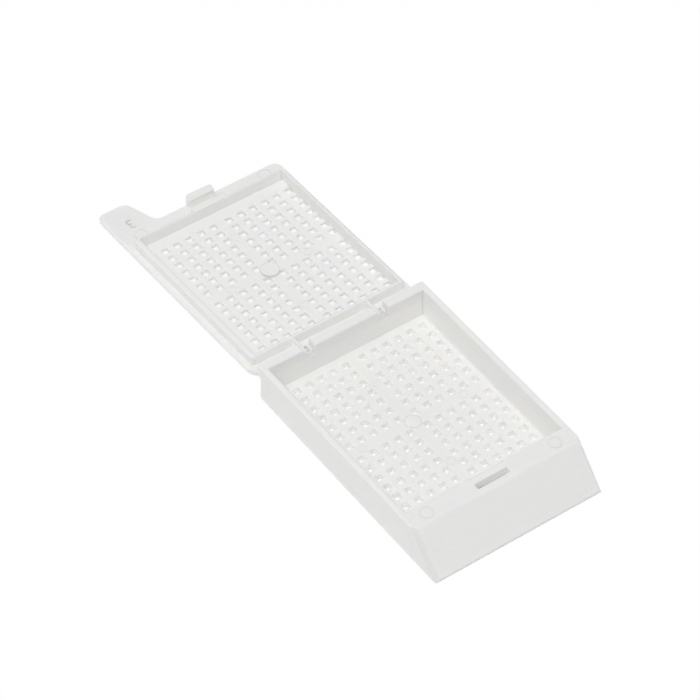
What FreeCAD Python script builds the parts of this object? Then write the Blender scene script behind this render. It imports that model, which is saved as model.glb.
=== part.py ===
"""Tissue embedding cassette: a perforated tray and the lid hinged to it, moulded in one piece.

Millimetres, +Z up. The origin is on the tray's underside, at mid width and in the middle of
the specimen well. +Y points at the hinge and the opened lid, -Y at the sloped writing face.
The lid is drawn shut on the tray, where it fits, and is then swung open about the hinge line.
"""
import FreeCAD, Part
import math
import os

V = FreeCAD.Vector
AXIS_X = V(1, 0, 0)
AXIS_Z = V(0, 0, 1)
BEYOND = 5.0  # how far a cutter runs past the face that it opens

# ---- tray ----
TRAY_WIDTH = 28.5
TRAY_HEIGHT = 5.9
SIDE_WALL = 0.95
WELL_LENGTH = 31.7
FLOOR = 1.0
WELL_CORNER = 0.2
WELL_CHAMFER = 0.12
WELL_REAR_DRAFT = 0.25
LEDGE_DEPTH = 1.5
LEDGE_HEIGHT = 1.9
LEDGE_UNDERCUT = 0.95
LEDGE_COVE = 0.25
BRIDGE_DEPTH = 3.12
BRIDGE_PLATE = 1.0
FRONT_WALL = 0.85
SLOPE_RUN = 5.33
SLOPE_TOE = 0.35
SLOPE_PLATE = 1.0
SLOPE_EDGE_ROUND = 0.8
CREST_ROUND = 0.5
REAR_CORNER_ROUND = 0.35
TOP_EDGE_ROUND = 0.18

# ---- latch ----
SLOT_LENGTH = 5.5
SLOT_WIDTH = 1.0
SLOT_LAND = 0.77
SLOT_CORNER = 0.15
LATCH_CLEARANCE = 0.07
LATCH_SIDE_CLEARANCE = 0.55
LATCH_HEIGHT = 2.0
LATCH_TIP = 0.16
LATCH_CORNER = 0.4
BARB_REACH = 0.1
BARB_BOTTOM = 1.43
BARB_LIP = 0.12

# ---- hinge ----
HINGE_SPACING = 12.8
HINGE_BELOW_RIM = 0.005  # from the shut rim's tip down to the hinge line
HINGE_SETBACK = 0.06
NOTCH_WIDTH = 1.9
NOTCH_BELOW_HINGE = 0.465
NOTCH_CHAMFER = 0.2
SWING_CLEARANCE = 0.05
STRAP_WIDTH = 1.7
STRAP_THICKNESS = 0.22
STRAP_LIP = 0.06
STRAP_RISE = 0.62
STRAP_SLOT = 0.7
STRAP_SLOT_SHIFT = 0.12
STRAP_BRIDGE = 0.2
ARM_WIDTH = 0.4
ARM_TIP_GAP = 0.06
CROSSBAR = 0.36
CROSSBAR_DEPTH = 0.3

# ---- lid ----
LID_THICKNESS = 0.9
LID_SEAT_GAP = 0.04
LID_SIDE_SETBACK = 0.1
LID_FRONT_SETBACK = 0.6
LID_REAR_SETBACK = 0.87
LID_FRONT_CORNER = 1.3
LID_REAR_CORNER = 2.1
LID_EDGE_ROUND = 0.38
RIM_HEIGHT = 1.5
RIM_WALL = 0.7
RIM_REAR_WALL = 0.55
RIM_CLEARANCE = 0.12
RIM_FRONT_GAP = 0.35
RIM_REAR_GAP = 1.14
RIM_CORNER = 0.6
RIM_CHAMFER = 0.38
RIM_REAR_CHAMFER = 0.12
LID_RECESS = 0.4
PAD_LENGTH = 5.7
PAD_STEP = 0.5
PAD_CORNER = 0.25
RELIEF_CLEARANCE = 0.12
TAB_REACH = 5.6
TAB_ROOT = 6.9
TAB_END = 5.1
TAB_OUTER_ROUND = 1.3
TAB_INNER_ROUND = 1.5
TAB_FILLET = 1.2

# ---- perforations ----
COLUMNS = 6  # each side of the middle
ROWS = 7
BORDER_X = 1.33  # from the well's wall to the last holes' centres
BORDER_Y = 2.06
LID_BORDER_X = 0.55  # from the rim's inner face to the last holes' centres
LID_BORDER_Y = 1.9
MIDDLE_BAND_X = 2.84  # between the two middle columns
MIDDLE_BAND_Y = 2.9
LID_MIDDLE_BAND_X = 2.73
LID_MIDDLE_BAND_Y = 2.82
HOLE_X = 1.0
HOLE_Y = 1.05
HOLE_DRAFT = 0.05
HOLE_LEAD = 0.04

# ---- moulding marks ----
BRIDGE_MARK_R = 1.03
BRIDGE_MARK_INSET = 2.4
FLOOR_MARK_R = 0.75
FLOOR_MARK_OFFSET = 8.75
MARK_DEPTH = 0.05
MARK_GROOVE = 0.13
GATE_R = 1.2
GATE_HEIGHT = 0.25
LID_GATE_R = 1.4
LID_GATE_HEIGHT = 0.4
LID_MARK_OFFSET_X = 6.65
LID_MARK_OFFSET_Y = 8.65

# ---- places worked out from the sizes above ----
HALF_WIDTH = TRAY_WIDTH / 2
WELL_X = HALF_WIDTH - SIDE_WALL
WELL_Y = WELL_LENGTH / 2
REAR_Y = WELL_Y + LEDGE_DEPTH
REAR_WALL_Y = REAR_Y - LEDGE_UNDERCUT
CREST_Y = -WELL_Y - BRIDGE_DEPTH
TOE_Y = CREST_Y - SLOPE_RUN
LEDGE_Z = TRAY_HEIGHT - LEDGE_HEIGHT
SLOT_FRONT_Y = CREST_Y + SLOT_LAND
SLOT_REAR_Y = SLOT_FRONT_Y + SLOT_WIDTH
HINGE_Y = REAR_Y - HINGE_SETBACK
HINGE_X = HINGE_SPACING / 2
LID_SEAT_Z = TRAY_HEIGHT + LID_SEAT_GAP
LID_TOP_Z = LID_SEAT_Z + LID_THICKNESS
LID_FRONT_Y = CREST_Y + LID_FRONT_SETBACK
LID_REAR_Y = REAR_Y - LID_REAR_SETBACK
LID_X = HALF_WIDTH - LID_SIDE_SETBACK
TAB_Y = LID_FRONT_Y - TAB_REACH
RIM_X = WELL_X - RIM_CLEARANCE
RIM_FRONT_Y = -WELL_Y + RIM_FRONT_GAP
RIM_REAR_Y = WELL_Y - RIM_REAR_GAP
RIM_TIP_Z = LID_SEAT_Z - RIM_HEIGHT
HINGE_Z = RIM_TIP_Z - HINGE_BELOW_RIM
NOTCH_Z = HINGE_Z - NOTCH_BELOW_HINGE
RECESS_X = RIM_X - RIM_WALL
RECESS_FRONT_Y = RIM_FRONT_Y + RIM_WALL
RECESS_REAR_Y = RIM_REAR_Y - RIM_REAR_WALL
RECESS_Z = LID_SEAT_Z + LID_RECESS
PAD_FRONT_Y = RIM_FRONT_Y - PAD_STEP
MARK_X = WELL_X - BRIDGE_MARK_INSET
ARM_TIP_Y = HINGE_Y - ARM_TIP_GAP


def open_angle():
    """Degrees from shut to the pose in which the tab's tip lies on the table."""
    reach = HINGE_Y - TAB_Y
    rise = LID_TOP_Z - HINGE_Z
    lean = math.asin(HINGE_Z / math.hypot(reach, rise)) - math.atan2(rise, reach)
    return 180 + math.degrees(lean)


def swing_open(shape):
    """A copy of a shape drawn shut, turned to the open rest pose."""
    turned = shape.copy()
    turned.rotate(V(0, HINGE_Y, HINGE_Z), AXIS_X, -open_angle())
    return turned


def box(x0, x1, y0, y1, z0, z1):
    """Box between two corners."""
    return Part.makeBox(x1 - x0, y1 - y0, z1 - z0, V(x0, y0, z0))


def outline(corners, z):
    """Closed wire at height z through (x, y, radius) corners, each rounded by its radius."""
    count = len(corners)
    ends = []
    for i, (x, y, radius) in enumerate(corners):
        here = V(x, y, z)
        before = (V(corners[i - 1][0], corners[i - 1][1], z) - here).normalize()
        after_corner = corners[(i + 1) % count]
        after = (V(after_corner[0], after_corner[1], z) - here).normalize()
        half = before.getAngle(after) / 2
        run = radius / math.tan(half)
        middle = (before + after).normalize()
        nearest = here + middle * (radius / math.sin(half) - radius)
        ends.append((here + before * run, nearest, here + after * run))
    edges = []
    for i, (start, nearest, end) in enumerate(ends):
        if corners[i][2] > 0:
            edges.append(Part.Arc(start, nearest, end).toShape())
        edges.append(Part.LineSegment(end, ends[(i + 1) % count][0]).toShape())
    return Part.Wire(edges)


def slab(corners, z0, z1):
    """Flat plate with a rounded outline, from z0 up to z1."""
    return Part.Face(outline(corners, z0)).extrude(V(0, 0, z1 - z0))


def rectangle(half_x, y0, y1, radius):
    """Corners of a rectangle centred on x = 0, all with one radius."""
    return [(-half_x, y0, radius), (half_x, y0, radius), (half_x, y1, radius), (-half_x, y1, radius)]


def prism(points, x0, x1):
    """Solid with a (y, z) section, from x0 to x1."""
    ring = [V(x0, y, z) for y, z in points]
    return Part.Face(Part.makePolygon(ring + ring[:1])).extrude(V(x1 - x0, 0, 0))


def rounded(shape, radius, wanted):
    """Fillet each edge whose midpoint and direction pass the test."""
    edges = []
    for edge in shape.Edges:
        middle = edge.valueAt((edge.FirstParameter + edge.LastParameter) / 2)
        along = (edge.Vertexes[-1].Point - edge.Vertexes[0].Point)
        if wanted(middle, along):
            edges.append(edge)
    return shape.makeFillet(radius, edges)


def hole_cutter(x, y, z0, z1, mouth_up):
    """Tapered cutter through a plate, with a short lead-in at the mouth."""
    levels = [(-BEYOND / 10, -HOLE_DRAFT), (z1 - z0 - HOLE_LEAD, 0.0), (z1 - z0 + HOLE_LEAD, 2 * HOLE_LEAD)]
    wires = []
    for depth, grow in levels:
        z = z0 + depth if mouth_up else z1 - depth
        half_x = HOLE_X / 2 + grow
        half_y = HOLE_Y / 2 + grow
        ring = [V(x - half_x, y - half_y, z), V(x + half_x, y - half_y, z),
                V(x + half_x, y + half_y, z), V(x - half_x, y + half_y, z)]
        wires.append(Part.makePolygon(ring + ring[:1]))
    return Part.makeLoft(wires, True, True)


def line_up(count, middle_band, last):
    """Centres of two mirrored groups of evenly pitched holes, out to the last one's centre."""
    first = middle_band / 2
    pitch = (last - first) / (count - 1)
    side = [first + i * pitch for i in range(count)]
    return [-value for value in reversed(side)] + side


def perforations(columns, rows, z0, z1, mouth_up):
    """All the hole cutters of one floor."""
    return [hole_cutter(x, y, z0, z1, mouth_up) for x in columns for y in rows]


def hinge_sides():
    """Middle of the left and the right hinge."""
    return {"left": -HINGE_X, "right": HINGE_X}


def tray_block():
    """Solid outer form of the tray: ledge at the back, crest and writing slope at the front."""
    profile = [(REAR_WALL_Y, 0), (REAR_WALL_Y, LEDGE_Z - LEDGE_COVE),
               (REAR_WALL_Y + LEDGE_COVE, LEDGE_Z), (REAR_Y, LEDGE_Z), (REAR_Y, TRAY_HEIGHT),
               (CREST_Y, TRAY_HEIGHT), (TOE_Y, SLOPE_TOE), (TOE_Y, 0)]
    block = prism(profile, -HALF_WIDTH, HALF_WIDTH)
    block = rounded(block, SLOPE_EDGE_ROUND, lambda middle, along: abs(middle.x) > HALF_WIDTH - 0.01
                    and TOE_Y + 0.5 < middle.y < CREST_Y - 0.5 and middle.z > 0.5)
    block = rounded(block, REAR_CORNER_ROUND, lambda middle, along: abs(middle.x) > HALF_WIDTH - 0.01
                    and middle.y > REAR_Y - 0.01 and abs(along.z) > 0.1)
    return block.makeFillet(TOP_EDGE_ROUND, top_edges(block)).cut(crest_cutter())


def crest_cutter():
    """What comes off the crest to leave it softly rounded."""
    fall = math.atan2(TRAY_HEIGHT - SLOPE_TOE, SLOPE_RUN)
    run = CREST_ROUND * math.tan(fall / 2)
    top = (CREST_Y + run, TRAY_HEIGHT)
    slope = (CREST_Y - run * math.cos(fall), TRAY_HEIGHT - run * math.sin(fall))
    above = (CREST_Y - run, TRAY_HEIGHT + run)
    wedge = prism([top, slope, above], -HALF_WIDTH - BEYOND, HALF_WIDTH + BEYOND)
    length = TRAY_WIDTH + 2 * BEYOND
    start = V(-length / 2, top[0], TRAY_HEIGHT - CREST_ROUND)
    return wedge.cut(Part.makeCylinder(CREST_ROUND, length, start, AXIS_X))


def top_edges(block):
    """Outer edges of the tray's top face, apart from the crest."""
    edges = []
    for edge in block.Edges:
        if edge.BoundBox.ZMin < TRAY_HEIGHT - 0.01:
            continue
        if edge.BoundBox.YMax > CREST_Y + SLOPE_EDGE_ROUND:
            edges.append(edge)
    return edges


def well_cutter():
    """Specimen well, with draft on its rear wall below the ledge."""
    upper = slab(rectangle(WELL_X, -WELL_Y, WELL_Y, WELL_CORNER), LEDGE_Z, TRAY_HEIGHT + BEYOND)
    wires = [outline(rectangle(WELL_X, -WELL_Y, WELL_Y - WELL_REAR_DRAFT, WELL_CORNER), FLOOR),
             outline(rectangle(WELL_X, -WELL_Y, WELL_Y, WELL_CORNER), LEDGE_Z)]
    top_z = TRAY_HEIGHT - WELL_CHAMFER
    mouth = [outline(rectangle(WELL_X + grow, -WELL_Y - grow, WELL_Y + grow, WELL_CORNER), top_z + grow)
             for grow in (0, 2 * WELL_CHAMFER)]
    return upper.fuse(Part.makeLoft(wires, True, True)).fuse(Part.makeLoft(mouth, True, True))


def slope_hollow():
    """Space under the bridge and the writing slope, open below."""
    rise = TRAY_HEIGHT - SLOPE_TOE
    inward = SLOPE_PLATE * math.hypot(SLOPE_RUN, rise) / rise
    shift = SLOPE_RUN / rise

    def slope_y(z):
        return CREST_Y - (TRAY_HEIGHT - z) * shift + inward

    under_bridge = TRAY_HEIGHT - BRIDGE_PLATE
    front_wall_y = -WELL_Y - FRONT_WALL
    section = [(front_wall_y, -BEYOND), (front_wall_y, under_bridge),
               (slope_y(under_bridge), under_bridge), (slope_y(-BEYOND), -BEYOND)]
    return prism(section, -WELL_X, WELL_X)


def latch_slot():
    """Slot in the bridge for the lid's latch, and the shallow relief for the rim's pad."""
    slot = slab(rectangle(SLOT_LENGTH / 2, SLOT_FRONT_Y, SLOT_REAR_Y, SLOT_CORNER),
                TRAY_HEIGHT - BRIDGE_PLATE - BEYOND / 10, TRAY_HEIGHT + BEYOND)
    relief_half = PAD_LENGTH / 2 + RELIEF_CLEARANCE
    relief = box(-relief_half, relief_half, PAD_FRONT_Y - RIM_CLEARANCE, -WELL_Y + BEYOND / 10,
                 RIM_TIP_Z - 2 * RIM_CLEARANCE, TRAY_HEIGHT + BEYOND)
    return slot.fuse(relief)


def hinge_notch(x):
    """Notch through the ledge for one hinge: chamfered top edges, floor hollowed for the swing."""
    half = NOTCH_WIDTH / 2
    notch = box(x - half, x + half, WELL_Y - BEYOND, REAR_Y + BEYOND, NOTCH_Z, TRAY_HEIGHT + BEYOND)
    flare = half + NOTCH_CHAMFER
    ring = [V(x - half, 0, TRAY_HEIGHT - NOTCH_CHAMFER), V(x + half, 0, TRAY_HEIGHT - NOTCH_CHAMFER),
            V(x + flare, 0, TRAY_HEIGHT), V(x - flare, 0, TRAY_HEIGHT)]
    chamfer = Part.Face(Part.makePolygon(ring + ring[:1])).extrude(V(0, REAR_Y + BEYOND, 0))
    sweep = math.hypot(ARM_TIP_GAP + CROSSBAR, HINGE_Z - RIM_TIP_Z - CROSSBAR_DEPTH) + SWING_CLEARANCE
    hollow = Part.makeCylinder(sweep, NOTCH_WIDTH, V(x - half, HINGE_Y, HINGE_Z), AXIS_X)
    return notch.fuse(chamfer).fuse(hollow)


def disc(x, y, radius, z0, z1):
    """Upright cylinder between two heights."""
    return Part.makeCylinder(radius, z1 - z0, V(x, y, z0), AXIS_Z)


def groove(x, y, radius, z0, z1):
    """Thin ring between two heights."""
    return disc(x, y, radius, z0, z1).cut(disc(x, y, radius - MARK_GROOVE, z0, z1))


def tray_marks():
    """Ring-shaped ejector marks on the bridge and the floor."""
    bridge_y = -WELL_Y - BRIDGE_DEPTH / 2 - MARK_DEPTH
    cutters = []
    for side in (-1, 1):
        cutters.append(groove(side * MARK_X, bridge_y, BRIDGE_MARK_R,
                              TRAY_HEIGHT - MARK_DEPTH, TRAY_HEIGHT + BEYOND))
        for x, y in ((side * FLOOR_MARK_OFFSET, 0), (0, side * FLOOR_MARK_OFFSET)):
            cutters.append(groove(x, y, FLOOR_MARK_R, FLOOR - MARK_DEPTH, FLOOR + MARK_DEPTH))
    return cutters


def gate_dome():
    """Low dome on the floor where the plastic was fed in."""
    ball = (GATE_R ** 2 + GATE_HEIGHT ** 2) / (2 * GATE_HEIGHT)
    dome = Part.makeSphere(ball, V(0, 0, FLOOR + GATE_HEIGHT - ball))
    return dome.common(box(-GATE_R, GATE_R, -GATE_R, GATE_R, FLOOR, FLOOR + GATE_HEIGHT))


def make_tray():
    """The tray: block, well, slope hollow, perforated floor, slot, notches and marks."""
    tray = tray_block().cut(well_cutter()).cut(slope_hollow()).cut(latch_slot())
    for x in hinge_sides().values():
        tray = tray.cut(hinge_notch(x))
    columns = line_up(COLUMNS, MIDDLE_BAND_X, WELL_X - BORDER_X)
    rows = line_up(ROWS, MIDDLE_BAND_Y, WELL_Y - BORDER_Y)
    tray = tray.cut(tray_marks())
    tray = tray.cut(perforations(columns, rows, 0, FLOOR, True))
    return tray.fuse(gate_dome())


def lid_plate():
    """Flat lid with its finger tab, all outer edges rounded."""
    corners = [(-LID_X, LID_REAR_Y, LID_REAR_CORNER), (-LID_X, TAB_Y, TAB_OUTER_ROUND),
               (TAB_END - LID_X, TAB_Y, TAB_INNER_ROUND), (TAB_ROOT - LID_X, LID_FRONT_Y, TAB_FILLET),
               (LID_X, LID_FRONT_Y, LID_FRONT_CORNER), (LID_X, LID_REAR_Y, LID_REAR_CORNER)]
    plate = slab(corners, LID_SEAT_Z, LID_TOP_Z)
    return rounded(plate, LID_EDGE_ROUND, lambda middle, along: abs(along.z) < 0.1)


def lid_rim():
    """Rim that drops into the well, chamfered at its tip and thicker beside the latch."""
    full = rectangle(RIM_X, RIM_FRONT_Y, RIM_REAR_Y, RIM_CORNER)
    narrow = rectangle(RIM_X - RIM_CHAMFER, RIM_FRONT_Y + RIM_CHAMFER, RIM_REAR_Y - RIM_REAR_CHAMFER,
                       RIM_CORNER / 2)
    shoulder_z = RIM_TIP_Z + RIM_CHAMFER
    ring = slab(full, shoulder_z, LID_SEAT_Z)
    tip = Part.makeLoft([outline(narrow, RIM_TIP_Z), outline(full, shoulder_z)], True, True)
    pad = slab(rectangle(PAD_LENGTH / 2, PAD_FRONT_Y, RECESS_FRONT_Y, PAD_CORNER), RIM_TIP_Z, LID_SEAT_Z)
    return ring.fuse(tip).fuse(pad)


def lid_pocket():
    """Space inside the rim, sunk a little into the plate."""
    return slab(rectangle(RECESS_X, RECESS_FRONT_Y, RECESS_REAR_Y, WELL_CORNER), RIM_TIP_Z, RECESS_Z)


def latch():
    """Latch wall with a barb towards the well and a lead-in slope up to its rounded tip."""
    front = SLOT_FRONT_Y + LATCH_CLEARANCE
    barb = SLOT_REAR_Y - LATCH_CLEARANCE
    wall = barb - BARB_REACH
    tip_z = LID_SEAT_Z - LATCH_HEIGHT
    barb_z = LID_SEAT_Z - BARB_BOTTOM
    section = [(front, RECESS_Z), (front, tip_z), (front + LATCH_TIP, tip_z), (barb, barb_z),
               (barb, barb_z + BARB_LIP), (wall, barb_z + BARB_LIP + BARB_REACH), (wall, RECESS_Z)]
    half = SLOT_LENGTH / 2 - LATCH_SIDE_CLEARANCE
    outer = slab(rectangle(half, tip_z, tip_z + BEYOND, LATCH_CORNER), 0, TRAY_WIDTH)
    outer.rotate(V(0, 0, 0), AXIS_X, 90)
    return prism(section, -half, half).common(outer)


def hinge_arm(x):
    """Arm from the rim to the hinge line, ending in a bar as wide as the strap."""
    bar_top = RIM_TIP_Z + CROSSBAR_DEPTH
    section = [(RECESS_REAR_Y, RECESS_Z), (RECESS_REAR_Y, RIM_TIP_Z), (ARM_TIP_Y, RIM_TIP_Z),
               (ARM_TIP_Y, bar_top), (LID_REAR_Y, LID_SEAT_Z), (LID_REAR_Y - LID_EDGE_ROUND, RECESS_Z)]
    arm = prism(section, x - ARM_WIDTH / 2, x + ARM_WIDTH / 2)
    return arm.fuse(crossbar(x))


def crossbar(x):
    """Bar across the arm's tip that carries the strap's end."""
    return box(x - STRAP_WIDTH / 2, x + STRAP_WIDTH / 2, ARM_TIP_Y - CROSSBAR, ARM_TIP_Y,
               RIM_TIP_Z, RIM_TIP_Z + CROSSBAR_DEPTH)


def lid_marks():
    """Ring-shaped ejector marks inside the lid and beside the latch."""
    strip_y = (RIM_FRONT_Y + LID_FRONT_Y) / 2
    cutters = []
    for side in (-1, 1):
        for x, y in ((side * LID_MARK_OFFSET_X, 0), (0, side * LID_MARK_OFFSET_Y)):
            cutters.append(groove(x, y, FLOOR_MARK_R, RECESS_Z - MARK_DEPTH, RECESS_Z + MARK_DEPTH))
        cutters.append(groove(side * MARK_X, strip_y, BRIDGE_MARK_R,
                              LID_SEAT_Z - MARK_DEPTH, LID_SEAT_Z + MARK_DEPTH))
    return cutters


def make_lid():
    """The lid, drawn shut: plate, rim, perforated floor, latch and hinge arms."""
    lid = lid_plate().fuse(lid_rim()).cut(lid_marks()).cut(lid_pocket())
    for x in hinge_sides().values():
        lid = lid.fuse(hinge_arm(x))
    columns = line_up(COLUMNS, LID_MIDDLE_BAND_X, RECESS_X - LID_BORDER_X)
    rows = line_up(ROWS, LID_MIDDLE_BAND_Y, RECESS_REAR_Y - LID_BORDER_Y)
    lid = lid.cut(perforations(columns, rows, RECESS_Z, LID_TOP_Z, False))
    gate = disc(0, 0, LID_GATE_R, RECESS_Z - LID_GATE_HEIGHT, RECESS_Z)
    return lid.fuse(latch()).fuse(gate)


def arch(x0, x1, drop):
    """Closed slab under an arc from the notch's inner edge, over the hinge, down past the crossbar."""
    start = V(x0, WELL_Y + STRAP_LIP + drop, NOTCH_Z)
    end = V(x0, REAR_Y + CROSSBAR - STRAP_LIP - drop, NOTCH_Z)
    crown = V(x0, (start.y + end.y) / 2, HINGE_Z + STRAP_RISE - drop)
    edges = [Part.Arc(start, crown, end).toShape(), Part.LineSegment(end, start).toShape()]
    return Part.Face(Part.Wire(edges)).extrude(V(x1 - x0, 0, 0))


def make_strap(x):
    """Thin strap arching from the notch's floor over to the lid's crossbar, slotted in its middle."""
    half = STRAP_WIDTH / 2
    strap = arch(x - half, x + half, 0).cut(arch(x - half - BEYOND, x + half + BEYOND, STRAP_THICKNESS))
    slot_start = WELL_Y + STRAP_LIP + STRAP_THICKNESS + STRAP_BRIDGE
    slot_x = x - STRAP_SLOT_SHIFT
    slot = box(slot_x - STRAP_SLOT / 2, slot_x + STRAP_SLOT / 2, slot_start, REAR_Y - STRAP_BRIDGE / 2,
               NOTCH_Z, TRAY_HEIGHT)
    beyond_bar = box(x - half - BEYOND, x + half + BEYOND, REAR_Y - BEYOND / 10, REAR_Y + BEYOND,
                     -BEYOND, HINGE_Z - CROSSBAR_DEPTH / 2)
    return strap.cut(slot).cut(swing_open(crossbar(x))).cut(beyond_bar)


def export(name, shape):
    """Write one sub-part as parts/NAME.step."""
    solids = shape.removeSplitter().Solids
    assert len(solids) == 1, (name, len(solids))
    assert solids[0].isValid(), name
    solids[0].exportStep(os.path.join("parts", name + ".step"))
    print(name, round(solids[0].Volume, 2), solids[0].BoundBox)


def main():
    os.makedirs("parts", exist_ok=True)
    export("base_tray", make_tray())
    export("lid", swing_open(make_lid()))
    for side, x in hinge_sides().items():
        export("hinge_strap_" + side, make_strap(x))
    print("open angle", round(open_angle(), 3), "hinge at", HINGE_Y, HINGE_Z)


main()
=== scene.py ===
"""Tissue embedding cassette lying open on a pale table.

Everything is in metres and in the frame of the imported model: +Z up, +Y from the tray's writing
slope towards the hinge and the opened lid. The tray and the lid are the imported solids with
moulded finishes. Four pieces are modelled here: the two thin hinge straps, which bend between
both bodies, the pocket behind the latch slot and the raised number on the finger tab.
"""
import logging
import math
from dataclasses import dataclass
from enum import Enum
from typing import Any

import bmesh
import bpy
from mathutils import Matrix, Vector


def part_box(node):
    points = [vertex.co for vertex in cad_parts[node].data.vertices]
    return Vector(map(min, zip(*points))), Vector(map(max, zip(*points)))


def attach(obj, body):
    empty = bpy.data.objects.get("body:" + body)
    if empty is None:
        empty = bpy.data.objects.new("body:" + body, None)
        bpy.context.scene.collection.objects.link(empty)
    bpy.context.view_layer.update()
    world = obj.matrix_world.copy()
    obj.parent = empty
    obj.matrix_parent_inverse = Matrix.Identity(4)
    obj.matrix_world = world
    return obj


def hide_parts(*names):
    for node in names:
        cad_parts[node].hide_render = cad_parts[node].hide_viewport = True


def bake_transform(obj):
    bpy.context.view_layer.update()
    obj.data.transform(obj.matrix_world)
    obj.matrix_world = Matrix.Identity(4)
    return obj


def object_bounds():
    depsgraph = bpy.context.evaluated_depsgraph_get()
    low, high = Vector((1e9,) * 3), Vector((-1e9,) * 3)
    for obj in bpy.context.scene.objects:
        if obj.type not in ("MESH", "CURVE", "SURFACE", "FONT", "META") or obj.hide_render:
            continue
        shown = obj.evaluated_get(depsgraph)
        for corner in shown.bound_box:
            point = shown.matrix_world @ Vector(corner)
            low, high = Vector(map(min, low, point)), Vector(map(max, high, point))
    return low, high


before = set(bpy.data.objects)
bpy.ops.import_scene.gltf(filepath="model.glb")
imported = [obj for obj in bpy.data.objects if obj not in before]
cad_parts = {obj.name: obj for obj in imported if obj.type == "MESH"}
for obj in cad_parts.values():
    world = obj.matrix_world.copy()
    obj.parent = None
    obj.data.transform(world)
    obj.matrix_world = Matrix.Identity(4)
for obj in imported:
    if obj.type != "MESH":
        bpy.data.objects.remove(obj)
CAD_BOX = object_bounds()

LOG = logging.getLogger("cassette")
MM = 0.001
MERGE_GAP = 1e-7
SMOOTH_ANGLE = 40.0
NOISE_MIDDLE = 0.5
Colour = tuple[float, float, float, float]
Triple = tuple[float, float, float]
Span = tuple[float, float]
WHITE: Colour = (1.0, 1.0, 1.0, 1.0)


# ---------------------------------------------------------------- shader graphs


class Signal:
    """One output socket; arithmetic on it adds Math nodes."""

    def __init__(self, graph: "Graph", socket: bpy.types.NodeSocket | None) -> None:
        """Wrap a socket.

        Args:
            graph: graph that owns the socket's node.
            socket: the output socket, if the node has one.
        """
        self.graph = graph
        self.socket = socket

    def _math(self, operation: str, *values: Any) -> "Signal":
        """Add one Math node.

        Args:
            operation: the Math node's operation.
            values: numbers or signals, in socket order.

        Returns:
            The node's result.
        """
        inputs = dict(enumerate(values))
        return self.graph.node("ShaderNodeMath", {"operation": operation}, inputs)

    def __add__(self, other: Any) -> "Signal":
        """Sum."""
        return self._math("ADD", self, other)

    def __radd__(self, other: Any) -> "Signal":
        """Sum, reflected."""
        return self._math("ADD", other, self)

    def __sub__(self, other: Any) -> "Signal":
        """Difference."""
        return self._math("SUBTRACT", self, other)

    def __rsub__(self, other: Any) -> "Signal":
        """Difference, reflected."""
        return self._math("SUBTRACT", other, self)

    def __mul__(self, other: Any) -> "Signal":
        """Product."""
        return self._math("MULTIPLY", self, other)

    def __rmul__(self, other: Any) -> "Signal":
        """Product, reflected."""
        return self._math("MULTIPLY", other, self)

    def __abs__(self) -> "Signal":
        """Absolute value."""
        return self._math("ABSOLUTE", self)

    def root(self) -> "Signal":
        """Square root."""
        return self._math("SQRT", self)

    def maximum(self, other: Any) -> "Signal":
        """The larger of this and another value."""
        return self._math("MAXIMUM", self, other)

    def ramp(self, start: float, end: float) -> "Signal":
        """Smooth step from 0 to 1.

        Args:
            start: value at which the result is 0; it may be above end.
            end: value at which the result is 1.

        Returns:
            The stepped signal.
        """
        inputs = {"Value": self, "From Min": start, "From Max": end}
        return self.graph.node("ShaderNodeMapRange", {"interpolation_type": "SMOOTHSTEP"}, inputs)


class Graph:
    """Node tree of one material or world."""

    def __init__(self, tree: bpy.types.NodeTree) -> None:
        """Start from an empty tree.

        Args:
            tree: tree to fill.
        """
        self.tree = tree
        tree.nodes.clear()

    def node(self, kind: str, settings: dict[str, Any] | None = None,
             inputs: dict[Any, Any] | None = None, output: str | int = 0) -> Signal:
        """Add one node.

        Args:
            kind: the node's type.
            settings: attributes, set before the sockets.
            inputs: values or signals by socket name, identifier or number.
            output: name or number of the output to hand back.

        Returns:
            The chosen output, without a socket where the node has none.
        """
        made = self.tree.nodes.new(kind)
        for key, value in (settings or {}).items():
            setattr(made, key, value)
        for key, value in (inputs or {}).items():
            socket = self._socket(made.inputs, key)
            if isinstance(value, Signal):
                self.tree.links.new(value.socket, socket)
            else:
                socket.default_value = value
        return Signal(self, self._socket(made.outputs, output) if len(made.outputs) else None)

    @staticmethod
    def _socket(sockets: Any, key: str | int) -> bpy.types.NodeSocket:
        """Find a socket by number, identifier or name.

        Args:
            sockets: the node's inputs or outputs.
            key: number, identifier or name.

        Returns:
            The socket.
        """
        if isinstance(key, int):
            return sockets[key]
        for socket in sockets:
            if socket.identifier == key:
                return socket
        return sockets[key]

    def mix(self, factor: Any, first: Any, second: Any) -> Signal:
        """Mix two colours.

        Args:
            factor: share of the second colour.
            first: colour or signal.
            second: colour or signal.

        Returns:
            The mixed colour.
        """
        inputs = {"Factor_Float": factor, "A_Color": first, "B_Color": second}
        return self.node("ShaderNodeMix", {"data_type": "RGBA"}, inputs, "Result_Color")

    def place(self) -> Signal:
        """Object coordinates."""
        return self.node("ShaderNodeTexCoord", output="Object")

    def axes(self, vector: Signal) -> tuple[Signal, Signal, Signal]:
        """Split a vector.

        Args:
            vector: signal to split.

        Returns:
            Its x, y and z.
        """
        parts = self.node("ShaderNodeSeparateXYZ", None, {"Vector": vector})
        outputs = parts.socket.node.outputs
        return Signal(self, outputs[0]), Signal(self, outputs[1]), Signal(self, outputs[2])

    def noise(self, vector: Signal, size: float, detail: float = 2.0, rough: float = 0.5) -> Signal:
        """Noise from 0 to 1, mostly near its middle.

        Args:
            vector: place that it reads.
            size: width of one lump, in metres.
            detail: octaves.
            rough: weight of the finer octaves.

        Returns:
            The noise value.
        """
        inputs = {"Vector": vector, "Scale": 1.0 / size, "Detail": detail, "Roughness": rough}
        return self.node("ShaderNodeTexNoise", {"noise_dimensions": "3D"}, inputs)


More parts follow.
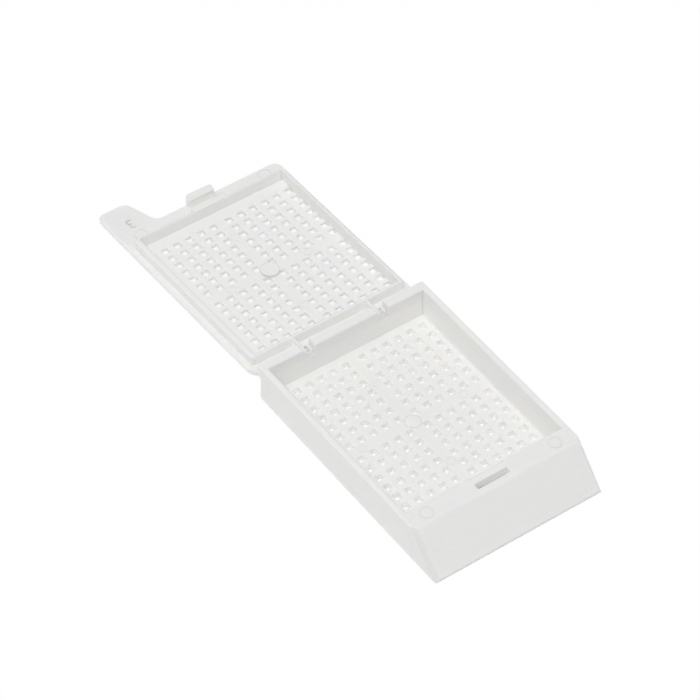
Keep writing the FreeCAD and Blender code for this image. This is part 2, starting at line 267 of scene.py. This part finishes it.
def new_material(name: str) -> tuple[bpy.types.Material, Graph]:
    """Make a material with an empty graph.

    Args:
        name: the material's name.

    Returns:
        The material and its graph.
    """
    material = bpy.data.materials.new(name)
    material.use_nodes = True
    return material, Graph(material.node_tree)


# ---------------------------------------------------------------- finishes


@dataclass(frozen=True)
class Zone:
    """Box-shaped part of a moulding, with soft borders.

    A zone with a fall follows a floor that drops by that much per metre along +Y.
    """

    low: Triple
    high: Triple
    border: float = 0.06 * MM
    fall: float = 0.0

    def mask(self, graph: Graph, place: Signal) -> Signal:
        """1 inside the box, 0 outside.

        Args:
            graph: graph to add to.
            place: object coordinates.

        Returns:
            The mask.
        """
        x, y, z = graph.axes(place)
        sides = []
        for value, low, high in zip((x, y, z + y * self.fall), self.low, self.high):
            half = (high - low) / 2
            away = abs(value - (low + high) / 2)
            sides.append(away.ramp(half + self.border, half - self.border))
        return sides[0] * sides[1] * sides[2]


@dataclass(frozen=True)
class Ring:
    """Thin circle about an upright axis, such as the line of painted shade round a gate's edge.

    The line is full out to its core on both sides and fades out at its reach.
    """

    centre: Span
    radius: float
    low: float
    high: float
    reach: float = 0.09 * MM
    core: float = 0.03 * MM

    def mask(self, graph: Graph, place: Signal) -> Signal:
        """1 on the line, 0 away from it.

        Args:
            graph: graph to add to.
            place: object coordinates.

        Returns:
            The mask.
        """
        x, y, z = graph.axes(place)
        across, along = x - self.centre[0], y - self.centre[1]
        away = (across * across + along * along).root()
        line = abs(away - self.radius).ramp(self.reach, self.core)
        half = (self.high - self.low) / 2
        level = abs(z - (self.low + self.high) / 2).ramp(half + self.reach, half)
        return line * level


@dataclass(frozen=True)
class AcetalFinish:
    """White acetal as it leaves the mould: satin grain outside, smoother where a core shaped it.

    Every edge carries a thin grey line of painted shade, heaviest where it turns to the rear, away
    from the key lamp; each gate a grey ring of painted shade; and faces turned to the front left,
    such as the corner blend, and the lip zones are a little darker, as painted shade. The polished
    zones are smoother, the painted light zones whiter as painted light, and the lineless zones have
    no painted edge shade. A share is how far the colour goes towards the shade colour.
    """

    name: str
    colour: Colour = (0.965, 0.963, 0.953, 1.0)
    cloud_colour: Colour = (0.955, 0.954, 0.942, 1.0)
    cloud_size: float = 4.5 * MM
    cloud_share: float = 0.5
    frost_size: float = 0.34 * MM
    frost_share: float = 0.07
    patch_fade: Span = (0.35, 0.68)
    grain_size: float = 0.17 * MM
    grain_height: float = 0.010 * MM
    grain_gloss: float = 0.08
    smear_gloss: float = 0.10
    ripple_size: float = 2.6 * MM
    ripple_height: float = 0.012 * MM
    satin: float = 0.50
    polish: float = 0.30
    polish_grain: float = 0.12
    edge_round: float = 0.05 * MM
    round_samples: int = 6
    scatter: float = 0.60
    scatter_depth: float = 0.5 * MM
    scatter_radius: Triple = (1.0, 0.93, 0.80)
    index: float = 1.48
    # grey of the painted shade (edges, gate rings, front-left faces, lip) and of the frost mottling
    shade_and_frost_colour: Colour = (0.62, 0.61, 0.59, 1.0)
    # painted shade along edges: its width, samples, turn, share on every edge and share where an
    # edge turns to the rear, away from the key lamp
    edge_shade_width: float = 0.17 * MM
    line_samples: int = 10
    line_turn: Span = (0.995, 0.88)
    edge_shade_share: float = 0.25
    rear_edge_shade_share: float = 1.0
    rear_lean: Span = (0.04, 0.30)
    # share of the painted shade round each gate's edge
    ring_shade_share: float = 0.45
    # painted shade on faces turned to the front left
    corner_shade_share: float = 0.32
    corner_shade_lean: Span = (-0.08, -0.24)
    # painted shade in the lip zones
    lip_shade_share: float = 0.22
    # colour of the painted light in the holes and slot
    painted_light_colour: Colour = (0.995, 0.993, 0.980, 1.0)
    rings: tuple[Ring, ...] = ()
    polished_zones: tuple[Zone, ...] = ()
    lineless_zones: tuple[Zone, ...] = ()
    painted_light_zones: tuple[Zone, ...] = ()
    lip_shade_zones: tuple[Zone, ...] = ()

    def material(self) -> bpy.types.Material:
        """Build the finish.

        Returns:
            The new material.
        """
        material, graph = new_material(self.name)
        place = graph.place()
        cloud = graph.noise(place, self.cloud_size, detail=3.0).ramp(*self.patch_fade)
        frost = graph.noise(place, self.frost_size, rough=0.6).ramp(*self.patch_fade)
        edge_shade_allowed = 1.0 - self._any(graph, place, self.lineless_zones)
        # painted shade on edges, round gates, on faces turned to the front left and on the lip,
        # joined with the frost mottling
        shade_and_frost = (self._edge_shade(graph) * edge_shade_allowed).maximum(frost * self.frost_share)
        shade_and_frost = shade_and_frost.maximum(self._any(graph, place, self.rings) * self.ring_shade_share)
        shade_and_frost = shade_and_frost.maximum(self._corner_shade(graph) * self.corner_shade_share)
        shade_and_frost = shade_and_frost.maximum(self._any(graph, place, self.lip_shade_zones) * self.lip_shade_share)
        colour = graph.mix(cloud * self.cloud_share, self.colour, self.cloud_colour)
        # painted light: the holes and the slot are whiter
        colour = graph.mix(self._any(graph, place, self.painted_light_zones), colour, self.painted_light_colour)
        colour = graph.mix(shade_and_frost, colour, self.shade_and_frost_colour)
        polished = self._any(graph, place, self.polished_zones)
        grain = graph.noise(place, self.grain_size, rough=0.6)
        smear = graph.noise(place, self.cloud_size / 2)
        gloss = polished * (self.polish - self.satin) + self.satin
        roughness = (gloss + (grain - NOISE_MIDDLE) * self.grain_gloss
                     + (smear - NOISE_MIDDLE) * self.smear_gloss)
        ripple = graph.noise(place, self.ripple_size, detail=1.0)
        coarse = 1.0 - polished * (1.0 - self.polish_grain)
        height = grain * coarse * self.grain_height + ripple * self.ripple_height
        softened = graph.node("ShaderNodeBevel", {"samples": self.round_samples},
                              {"Radius": self.edge_round})
        normal = graph.node("ShaderNodeBump", None, {
            "Strength": 1.0, "Distance": 1.0, "Height": height, "Normal": softened})
        surface = graph.node("ShaderNodeBsdfPrincipled", {"subsurface_method": "RANDOM_WALK"}, {
            "Base Color": colour, "Roughness": roughness, "IOR": self.index, "Normal": normal,
            "Subsurface Weight": self.scatter, "Subsurface Scale": self.scatter_depth,
            "Subsurface Radius": self.scatter_radius})
        graph.node("ShaderNodeOutputMaterial", None, {"Surface": surface})
        return material

    def _edge_shade(self, graph: Graph) -> Signal:
        """Strength of the painted shade along each edge, strongest where an edge turns to the rear.

        Args:
            graph: graph to add to.

        Returns:
            The painted shade's share on an edge, 0 on a flat face.
        """
        rounded = graph.node("ShaderNodeBevel", {"samples": self.line_samples},
                             {"Radius": self.edge_shade_width})
        plain = graph.node("ShaderNodeNewGeometry", output="Normal")
        agreement = graph.node("ShaderNodeVectorMath", {"operation": "DOT_PRODUCT"},
                               {0: rounded, 1: plain}, "Value")
        across, ahead, _ = graph.axes(rounded)
        rear = (across + ahead).ramp(*self.rear_lean) * (self.rear_edge_shade_share - self.edge_shade_share)
        return agreement.ramp(*self.line_turn) * (rear + self.edge_shade_share)

    def _corner_shade(self, graph: Graph) -> Signal:
        """Mask of the painted shade on faces turned to the front left, such as the blend at the
        front left corner.

        Args:
            graph: graph to add to.

        Returns:
            1 on the blend and on other faces turned to the front left, else 0.
        """
        across, ahead, _ = graph.axes(graph.node("ShaderNodeNewGeometry", output="Normal"))
        return across.ramp(*self.corner_shade_lean) * ahead.ramp(*self.corner_shade_lean)

    @staticmethod
    def _any(graph: Graph, place: Signal, marks: tuple[Zone | Ring, ...]) -> Signal:
        """Mask of several zones or rings.

        Args:
            graph: graph to add to.
            place: object coordinates.
            marks: the zones or rings.

        Returns:
            1 in any of them, else 0.
        """
        result = graph.axes(place)[0] * 0.0
        for mark in marks:
            result = result.maximum(mark.mask(graph, place))
        return result


@dataclass(frozen=True)
class TableFinish:
    """Matt white table top: plain white where it is looked at, pale paper to falling light.

    The shade zone lies under the open lid, where that white is a little weaker.
    """

    name: str = "table_paper"
    colour: Colour = (0.98, 0.98, 0.98, 1.0)
    fibre_colour: Colour = (0.965, 0.965, 0.965, 1.0)
    fibre_size: float = 1.4 * MM
    rough: float = 0.85
    sheen: float = 0.2
    glow: float = 0.985
    shade_zone: Zone = Zone((-12.5 * MM, 20.0 * MM, -1.0 * MM), (12.5 * MM, 50.0 * MM, 1.0 * MM))
    shade: float = 0.15

    def material(self) -> bpy.types.Material:
        """Build the finish.

        Returns:
            The new material.
        """
        material, graph = new_material(self.name)
        place = graph.place()
        fibre = graph.noise(place, self.fibre_size, detail=4.0)
        colour = graph.mix(fibre, self.colour, self.fibre_colour)
        paper = graph.node("ShaderNodeBsdfPrincipled", None, {
            "Base Color": colour, "Roughness": self.rough, "Specular IOR Level": self.sheen})
        white = graph.node("ShaderNodeEmission", None, {"Color": WHITE, "Strength": 1.0})
        glow = (1.0 - self.shade_zone.mask(graph, place) * self.shade) * self.glow
        surface = graph.node("ShaderNodeMixShader", None,
                             {0: seen_directly(graph) * glow, 1: paper, 2: white})
        graph.node("ShaderNodeOutputMaterial", None, {"Surface": surface})
        return material


def seen_directly(graph: Graph) -> Signal:
    """Rays that show a background: from the eye, off a gloss or through something clear.

    Args:
        graph: graph to add to.

    Returns:
        1 for such rays, else 0.
    """
    camera = graph.node("ShaderNodeLightPath", output="Is Camera Ray")
    glossy = graph.node("ShaderNodeLightPath", output="Is Glossy Ray")
    through = graph.node("ShaderNodeLightPath", output="Is Transmission Ray")
    return camera.maximum(glossy).maximum(through)


# ---------------------------------------------------------------- mesh helpers


def finish_piece(name: str, mesh: bmesh.types.BMesh,
                 material: bpy.types.Material) -> bpy.types.Object:
    """Turn a bmesh into a scene object with outward normals.

    Args:
        name: piece name.
        mesh: the shape; it is freed.
        material: its finish.

    Returns:
        The new object, at the origin.
    """
    bmesh.ops.remove_doubles(mesh, verts=mesh.verts, dist=MERGE_GAP)
    bmesh.ops.recalc_face_normals(mesh, faces=mesh.faces)
    limit = math.radians(SMOOTH_ANGLE)
    for face in mesh.faces:
        face.smooth = True
    for edge in mesh.edges:
        edge.smooth = edge.is_manifold and edge.calc_face_angle(0.0) < limit
    data = bpy.data.meshes.new(name)
    mesh.to_mesh(data)
    mesh.free()
    data.materials.append(material)
    made = bpy.data.objects.new(name, data)
    bpy.context.scene.collection.objects.link(made)
    return made


# ---------------------------------------------------------------- sub-assemblies


class Side(Enum):
    """Which of the two hinges."""

    LEFT = "left"
    RIGHT = "right"


@dataclass
class Tray:
    """The perforated tray with its writing slope."""

    side_wall: float = 0.95 * MM
    well_half_length: float = 15.85 * MM
    floor: float = 1.0 * MM
    margin: float = 0.02 * MM
    rim_gap: float = 0.08 * MM
    hole_gap: float = 0.06 * MM
    line_gap: float = 0.10 * MM
    lip_height: float = 0.46 * MM
    lip_depth: float = 0.30 * MM
    lip_border: float = 0.08 * MM
    slot_low: Triple = (-3.2 * MM, -19.2 * MM, 0.4 * MM)
    slot_high: Triple = (3.2 * MM, -16.4 * MM, 5.84 * MM)
    slot_border: float = 0.04 * MM
    gate: Span = (0.0, 0.0)
    gate_radius: float = 1.2 * MM
    gate_height: float = 0.3 * MM

    def dress(self) -> bpy.types.Object:
        """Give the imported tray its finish.

        Returns:
            The tray's object.
        """
        low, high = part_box("base_tray")
        side = high.x - self.side_wall + self.margin
        end = self.well_half_length + self.margin
        well = Zone((-side, -end, self.floor / 2), (side, end, high.z - self.rim_gap))
        slot = Zone(self.slot_low, self.slot_high, self.slot_border)
        around_slot = Zone(self.slot_low, (*self.slot_high[:2], high.z + self.line_gap))
        holes = Zone((-side, -end, -self.floor), (side, end, self.floor - self.hole_gap))
        floor = Zone((-side, -end, -self.floor), (side, end, self.floor + self.line_gap))
        # painted shade along the bottom of the front lip, by the table
        lip = Zone((low.x - side, low.y - end, -self.floor),
                   (side, low.y + self.lip_depth, self.lip_height), self.lip_border)
        # ring of painted shade round the gate's edge
        gate = Ring(self.gate, self.gate_radius, self.floor, self.floor + self.gate_height)
        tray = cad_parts["base_tray"]
        # the slot and the holes get painted light
        finish = AcetalFinish("tray_acetal", rings=(gate,), polished_zones=(well,),
                              lineless_zones=(around_slot, floor), painted_light_zones=(slot, holes),
                              lip_shade_zones=(lip,))
        set_material(tray, finish.material())
        return tray


@dataclass
class Lid:
    """The perforated lid with its rim, latch and finger tab."""

    rim_half_width: float = 12.5 * MM
    pocket_near: float = 20.4 * MM
    pocket_far: float = 49.45 * MM
    pocket_top: float = 4.35 * MM
    floor_level: float = 3.381 * MM
    floor_fall: float = 0.04935
    hole_gap: float = 0.06 * MM
    line_gap: float = 0.08 * MM
    gate: Span = (0.0, 34.44 * MM)
    gate_radius: float = 1.4 * MM
    gate_low: float = 1.55 * MM
    gate_high: float = 2.2 * MM

    def dress(self) -> bpy.types.Object:
        """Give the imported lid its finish.

        Returns:
            The lid's object.
        """
        side, near, far = self.rim_half_width, self.pocket_near, self.pocket_far
        pocket = Zone((-side, near, 0.0), (side, far, self.pocket_top))
        holes = Zone((-side, near, -self.pocket_top),
                     (side, far, self.floor_level - self.hole_gap), fall=self.floor_fall)
        floor = Zone((-side, near, -self.pocket_top),
                     (side, far, self.floor_level + self.line_gap), fall=self.floor_fall)
        # ring of painted shade round the gate's edge
        gate = Ring(self.gate, self.gate_radius, self.gate_low, self.gate_high)
        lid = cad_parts["lid"]
        # the holes get painted light
        finish = AcetalFinish("lid_acetal", rings=(gate,), polished_zones=(pocket,),
                              lineless_zones=(floor,), painted_light_zones=(holes,))
        set_material(lid, finish.material())
        return lid


def set_material(piece: bpy.types.Object, material: bpy.types.Material) -> None:
    """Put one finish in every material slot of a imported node.

    Args:
        piece: the node's object.
        material: the finish.
    """
    if not piece.material_slots:
        piece.data.materials.append(material)
    for place in piece.material_slots:
        place.material = material


@dataclass
class LivingHinge:
    """Thin strap that rises from the tray's notch and bends over to the lid's bar.

    A window beside the lid's arm leaves one broad leg, one thin leg and a foot across both.
    """

    side: Side
    left_edge: float = -0.88 * MM
    window_left: float = -0.25 * MM
    window_right: float = 0.24 * MM
    right_edge: float = 0.68 * MM
    thickness: float = 0.20 * MM
    window_foot: float = 0.40 * MM
    rise: float = 0.76 * MM
    near_bend: float = 0.50 * MM
    near_turn: float = 98.0
    crown_run: float = 0.52 * MM
    far_bend: float = 0.40 * MM
    far_turn: float = 77.0
    drop: float = 0.46 * MM
    bend_steps: int = 9
    sharp_angle: float = 60.0
    edge_round: float = 0.035 * MM
    hinge_y: float = 17.29 * MM
    fold_start: float = -0.30 * MM
    fold_end: float = 0.12 * MM

    def build(self, material: bpy.types.Material) -> bpy.types.Object:
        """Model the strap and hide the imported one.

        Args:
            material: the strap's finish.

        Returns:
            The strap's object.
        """
        node = "hinge_strap_" + self.side.value
        low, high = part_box(node)
        middle = (low.x + high.x) / 2
        mesh = bmesh.new()
        self._sheet(mesh, middle, low.y + self.thickness / 2, low.z)
        self._open_window(mesh, middle, low.z)
        bmesh.ops.recalc_face_normals(mesh, faces=mesh.faces)
        bmesh.ops.solidify(mesh, geom=mesh.faces[:], thickness=self.thickness)
        limit = math.radians(self.sharp_angle)
        sharp = [edge for edge in mesh.edges if edge.calc_face_angle(0.0) > limit]
        bmesh.ops.bevel(mesh, geom=sharp, offset=self.edge_round, offset_type="OFFSET", segments=2,
                        profile=0.5, affect="EDGES", material=-1)
        strap = finish_piece(node + "_web", mesh, material)
        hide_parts(node)
        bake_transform(strap)
        return strap

    def _sheet(self, mesh: bmesh.types.BMesh, middle: float, near: float, foot: float) -> None:
        """Draw the strap's middle surface: up, over in two bends, down to the lid's bar.

        Args:
            mesh: bmesh to fill.
            middle: x of the notch's middle.
            near: y of the rising leg.
            foot: z of the foot.
        """
        stations = (self.left_edge, self.window_left, self.window_right,
                    (self.window_right + self.right_edge) / 2, self.right_edge)
        line = [mesh.verts.new((middle + x, near, foot)) for x in stations]
        front = line + [mesh.edges.new(pair) for pair in zip(line, line[1:])]
        heading = Vector((0.0, 0.0, 1.0))
        front = self._push(mesh, front, heading * self.window_foot)
        front = self._push(mesh, front, heading * (self.rise - self.window_foot))
        front, heading = self._bend(mesh, front, heading, self.near_bend, self.near_turn)
        front = self._push(mesh, front, heading * self.crown_run)
        front, heading = self._bend(mesh, front, heading, self.far_bend, self.far_turn)
        self._push(mesh, front, heading * self.drop)

    @staticmethod
    def _push(mesh: bmesh.types.BMesh, front: list[Any], step: Vector) -> list[Any]:
        """Extrude the sheet's last line.

        Args:
            mesh: bmesh to extend.
            front: vertices and edges of the last line.
            step: how far and which way.

        Returns:
            Vertices and edges of the new line.
        """
        edges = [part for part in front if isinstance(part, bmesh.types.BMEdge)]
        made = bmesh.ops.extrude_edge_only(mesh, edges=edges)["geom"]
        verts = [part for part in made if isinstance(part, bmesh.types.BMVert)]
        bmesh.ops.translate(mesh, verts=verts, vec=step)
        return [part for part in made if not isinstance(part, bmesh.types.BMFace)]

    def _bend(self, mesh: bmesh.types.BMesh, front: list[Any], heading: Vector, radius: float,
              turn: float) -> tuple[list[Any], Vector]:
        """Spin the sheet's last line round a bend towards the lid.

        Args:
            mesh: bmesh to extend.
            front: vertices and edges of the last line.
            heading: direction in which the sheet runs before the bend.
            radius: radius of the bend.
            turn: angle of the bend, in degrees.

        Returns:
            Vertices and edges of the new line, and the direction after the bend.
        """
        verts = [part for part in front if isinstance(part, bmesh.types.BMVert)]
        inward = Vector((0.0, heading.z, -heading.y))
        angle = -math.radians(turn)
        made = bmesh.ops.spin(mesh, geom=front, cent=verts[0].co + inward * radius, axis=(1, 0, 0),
                              angle=angle, steps=self.bend_steps, use_merge=False)["geom_last"]
        last = [part for part in made if not isinstance(part, bmesh.types.BMFace)]
        return last, Matrix.Rotation(angle, 3, "X") @ heading

    def _open_window(self, mesh: bmesh.types.BMesh, middle: float, foot: float) -> None:
        """Remove the faces between the legs, down to the foot.

        Args:
            mesh: the strap's middle surface.
            middle: x of the notch's middle.
            foot: z of the foot.
        """
        end = self.hinge_y + self.fold_end
        gone = []
        for face in mesh.faces:
            spot = face.calc_center_median()
            between = self.window_left < spot.x - middle < self.window_right
            if between and spot.z > foot + self.window_foot and spot.y < end:
                gone.append(face)
        bmesh.ops.delete(mesh, geom=gone, context="FACES")


@dataclass
class LatchPocket:
    """Shelf, wall and two ribs under the bridge that close the pocket behind the latch slot."""

    half_width: float = 2.85 * MM
    rib: float = 0.25 * MM
    shelf_low: float = 3.50 * MM
    shelf_high: float = 3.75 * MM
    rear: float = -16.71 * MM
    front: float = -18.50 * MM
    wall: float = 0.22 * MM
    top: float = 4.89 * MM

    def build(self, material: bpy.types.Material) -> bpy.types.Object:
        """Model the pocket.

        Args:
            material: its finish.

        Returns:
            The pocket's object.
        """
        mesh = bmesh.new()
        outer = self.half_width + self.rib
        shelf = ((self.front, self.shelf_low), (self.rear, self.shelf_low),
                 (self.rear, self.shelf_high), (self.front, self.shelf_high))
        wall = ((self.front - self.wall, self.shelf_low), (self.front, self.shelf_low),
                (self.front, self.top - self.wall), (self.front - self.wall, self.top - self.wall))
        rib = ((self.front, self.shelf_high), (self.rear, self.shelf_high),
               (self.rear, self.top), (self.front, self.top))
        self._prism(mesh, shelf, -outer, outer)
        self._prism(mesh, wall, -outer, outer)
        self._prism(mesh, rib, -outer, -self.half_width)
        self._prism(mesh, rib, self.half_width, outer)
        pocket = finish_piece("latch_pocket", mesh, material)
        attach(pocket, "tray")
        return pocket

    @staticmethod
    def _prism(mesh: bmesh.types.BMesh, outline: tuple[tuple[float, float], ...], low: float,
               high: float) -> None:
        """Add a straight prism along x.

        Args:
            mesh: bmesh to add to.
            outline: its corners, as y and z.
            low: x of one end.
            high: x of the other end.
        """
        face = mesh.faces.new([mesh.verts.new((low, y, z)) for y, z in outline])
        made = bmesh.ops.extrude_face_region(mesh, geom=[face])["geom"]
        ends = [part for part in made if isinstance(part, bmesh.types.BMVert)]
        bmesh.ops.translate(mesh, verts=ends, vec=(high - low, 0.0, 0.0))
        bmesh.ops.recalc_face_normals(mesh, faces=mesh.faces)


@dataclass
class MouldNumber:
    """Raised cavity number on the lid's finger tab, upright when seen from the tab's far end."""

    text: str = "3"
    size: float = 2.6 * MM
    height: float = 0.05 * MM
    sink: float = 0.03 * MM
    place: Triple = (-10.95 * MM, 54.25 * MM, 1.104 * MM)
    tilt: float = -2.825

    def build(self, material: bpy.types.Material) -> bpy.types.Object:
        """Model the number.

        Args:
            material: its finish.

        Returns:
            The number's object.
        """
        data = bpy.data.curves.new("number_line", "FONT")
        data.body = self.text
        data.size = self.size
        data.extrude = (self.height + self.sink) / 2
        data.align_x = "CENTER"
        data.align_y = "CENTER"
        line = bpy.data.objects.new("number_line", data)
        solid = bpy.data.meshes.new_from_object(line)
        mesh = bmesh.new()
        mesh.from_mesh(solid)
        bpy.data.objects.remove(line)
        bpy.data.meshes.remove(solid)
        lift = Vector((0.0, 0.0, (self.height - self.sink) / 2))
        lean = Matrix.Rotation(math.radians(self.tilt), 4, "X")
        turned = Matrix.Rotation(math.pi, 4, "Z")
        seat = Matrix.Translation(Vector(self.place) + lift) @ lean @ turned
        bmesh.ops.transform(mesh, matrix=seat, verts=mesh.verts)
        number = finish_piece("mould_number", mesh, material)
        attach(number, "lid")
        return number


# ---------------------------------------------------------------- studio


@dataclass
class Viewpoint:
    """Camera on a tripod, turned round a point on the object."""

    target: Triple = (1.292 * MM, 16.633 * MM, 0.0)
    distance: float = 517.2 * MM
    azimuth: float = 37.332
    elevation: float = 47.266
    roll: float = 1.921
    lens: float = 188.33
    sensor: float = 36.0
    near: float = 0.01
    far: float = 20.0

    def build(self) -> bpy.types.Object:
        """Place the camera.

        Returns:
            The camera's object.
        """
        turn = math.radians(self.azimuth)
        lift = math.radians(self.elevation)
        forward = Vector((math.sin(turn) * math.cos(lift), math.cos(turn) * math.cos(lift),
                          -math.sin(lift)))
        data = bpy.data.cameras.new("camera")
        data.lens = self.lens
        data.sensor_width = self.sensor
        data.clip_start = self.near
        data.clip_end = self.far
        made = bpy.data.objects.new("camera", data)
        bpy.context.scene.collection.objects.link(made)
        stand = Matrix.Translation(Vector(self.target) - forward * self.distance)
        look = forward.to_track_quat("-Z", "Y").to_matrix().to_4x4()
        made.matrix_world = stand @ look @ Matrix.Rotation(math.radians(self.roll), 4, "Z")
        bpy.context.scene.camera = made
        return made


@dataclass(frozen=True)
class SoftBox:
    """One large soft lamp."""

    name: str
    place: Triple
    size: float
    power: float
    colour: Triple

    def build(self, target: Vector) -> bpy.types.Object:
        """Hang the lamp and aim it.

        Args:
            target: point that it faces.

        Returns:
            The lamp's object.
        """
        data = bpy.data.lights.new(self.name, "AREA")
        data.shape = "DISK"
        data.size = self.size
        data.energy = self.power
        data.color = self.colour
        made = bpy.data.objects.new(self.name, data)
        bpy.context.scene.collection.objects.link(made)
        made.location = self.place
        made.rotation_euler = (target - Vector(self.place)).to_track_quat("-Z", "Y").to_euler()
        return made


@dataclass
class Studio:
    """Pale table, even daylight from all round and one soft lamp high on the front left.

    The daylight is a little stronger from both sides and weaker out of a gap on the front left.
    """

    table_size: float = 1.6
    table_cells: int = 8
    table_drop: float = 0.02 * MM
    zenith: float = 0.50
    across_gain: float = 0.06
    gap_lean: Span = (0.35, 0.95)
    gap_depth: float = 0.10
    bounces: int = 16
    lamp_target: Triple = (0.0, 0.017, 0.0)
    lamps: tuple[SoftBox, ...] = (
        SoftBox("key_lamp", (-0.26, -0.12, 0.78), 0.60, 2.8, (1.0, 1.0, 0.99)),
    )

    def build(self) -> None:
        """Lay the table, light it and set the plain view transform."""
        self._table()
        self._daylight()
        for lamp in self.lamps:
            lamp.build(Vector(self.lamp_target))
        scene = bpy.context.scene
        scene.view_settings.view_transform = "Standard"
        scene.cycles.max_bounces = self.bounces
        scene.cycles.diffuse_bounces = self.bounces

    def _table(self) -> None:
        """Lay the table top under the object."""
        mesh = bmesh.new()
        bmesh.ops.create_grid(mesh, x_segments=self.table_cells, y_segments=self.table_cells,
                              size=self.table_size / 2)
        level = min(CAD_BOX[0][2], 0.0) - self.table_drop
        bmesh.ops.translate(mesh, verts=mesh.verts, vec=(0.0, 0.0, level))
        finish_piece("table", mesh, TableFinish().material())

    def _daylight(self) -> None:
        """Even light from the world, and plain white where the world itself is seen."""
        world = bpy.data.worlds.new("daylight")
        world.use_nodes = True
        graph = Graph(world.node_tree)
        across, along, _ = graph.axes(graph.node("ShaderNodeTexCoord", output="Generated"))
        front_left = (across + along) * -math.sqrt(0.5)
        gap = front_left.ramp(*self.gap_lean) * self.gap_depth
        level = across * across * self.across_gain + self.zenith - gap
        light = graph.node("ShaderNodeBackground", None, {"Color": WHITE, "Strength": level})
        white = graph.node("ShaderNodeBackground", None, {"Color": WHITE, "Strength": 1.0})
        surface = graph.node("ShaderNodeMixShader", None,
                             {0: seen_directly(graph), 1: light, 2: white})
        graph.node("ShaderNodeOutputWorld", None, {"Surface": surface})
        bpy.context.scene.world = world


def main() -> None:
    """Build the cassette and its studio, piece by piece."""
    logging.basicConfig(level=logging.INFO, format="%(name)s: %(message)s")
    Viewpoint().build()
    for part in (Tray(), Lid()):
        LOG.info("dressed %s", part.dress().name)
    strap_finish = AcetalFinish("strap_acetal", satin=0.32, edge_shade_width=0.03 * MM).material()
    for side in Side:
        LOG.info("made %s", LivingHinge(side).build(strap_finish).name)
    # nearly white finish without scatter, as painted light in the pocket behind the latch slot
    pocket_painted_light_finish = AcetalFinish("pocket_acetal", colour=(0.997, 0.996, 0.990, 1.0), scatter=0.0,
                                 cloud_share=0.0, frost_share=0.0, edge_shade_share=0.0,
                                 rear_edge_shade_share=0.0)
    LOG.info("made %s", LatchPocket().build(pocket_painted_light_finish.material()).name)
    number_finish = AcetalFinish("number_acetal", edge_shade_width=0.04 * MM)
    LOG.info("made %s", MouldNumber().build(number_finish.material()).name)
    Studio().build()


if __name__ == "__main__":
    main()
